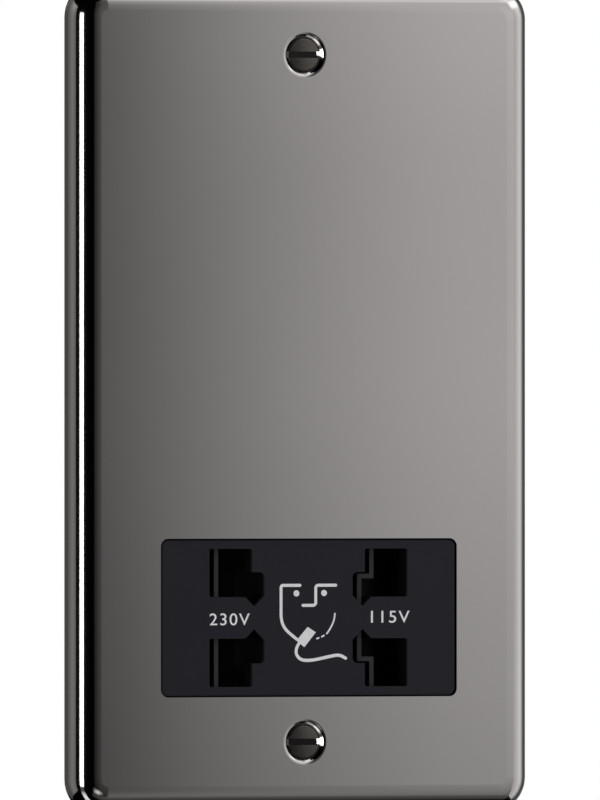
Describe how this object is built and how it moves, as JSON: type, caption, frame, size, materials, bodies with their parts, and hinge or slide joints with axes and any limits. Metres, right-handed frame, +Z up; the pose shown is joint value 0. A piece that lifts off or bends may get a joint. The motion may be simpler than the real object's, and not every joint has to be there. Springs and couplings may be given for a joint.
{
  "type": "dual-voltage shaver socket",
  "caption": "Flush wall socket for electric shavers: pressed metal plate, shuttered outlet insert, and a transformer module behind it.",
  "frame": {"origin": "midway between the axes of the two fixing screws, on the plane of the wall that the plate's rear rim rests on", "axes": "+Z up along the line of the fixing screws, +Y into the wall along the screws, +X to the right seen from the front"},
  "size_m": [0.086, 0.0403, 0.146],
  "materials": {
    "plate": "polished black nickel",
    "fixing_screw": "black nickel",
    "insert": "fine satin black moulding",
    "carrier": "black glass-filled moulding",
    "cover": "dark grey moulding",
    "shutter": "black low-friction moulding",
    "spring": "bright drawn wire",
    "zinc": "bright zinc plate",
    "contact": "stamped strip",
    "clamp": "machined",
    "core": "stacked electrical steel, varnished",
    "bobbin": "natural nylon",
    "winding": "enamelled copper wire",
    "tape": "polyester tape",
    "cutout": "phenolic case",
    "lead_brown": "smooth insulation",
    "lead_blue": "smooth insulation",
    "lead_earth": "smooth insulation",
    "lead_red": "smooth insulation",
    "lead_white": "smooth insulation",
    "lead_black": "smooth insulation"
  },
  "bodies": {
    "housing": {"faceplate": "plate", "fixing_screw_top": "fixing_screw", "fixing_screw_bottom": "fixing_screw", "socket_insert": "insert", "module_carrier": "carrier", "stud_washers": "zinc", "stud_nuts": "zinc", "centring_spring_left": "spring", "centring_spring_right": "spring", "switch_contact_line": "contact", "switch_contact_load": "contact", "contact_common": "contact", "contact_230": "contact", "contact_115": "contact", "socket_rear_cover": "cover", "cover_screws": "zinc", "core_e_stack": "core", "core_i_stack": "core", "core_bolts": "zinc", "bobbin": "bobbin", "bobbin_tags": "contact", "primary_winding": "winding", "secondary_winding": "winding", "primary_tape": "tape", "secondary_tape": "tape", "thermal_cutout": "cutout", "terminal_clamps": "clamp", "terminal_screws": "zinc", "earth_tag": "contact", "lead_earth": "lead_earth", "lead_neutral": "lead_blue", "lead_line": "lead_brown", "lead_switched": "lead_brown", "lead_cutout": "lead_brown", "lead_common": "lead_black", "lead_230": "lead_red", "lead_115": "lead_white"},
    "shutter": {"shutter_slider": "shutter", "switch_bridge": "contact"}
  },
  "joints": [
    {"name": "shutter_slide", "type": "slide", "parent": "housing", "child": "shutter", "axis": [1, 0, 0], "range_m": [-0.008, 0.008], "stiffness_N_per_m": 60, "deforming": ["centring_spring_left", "centring_spring_right"]}
  ]
}
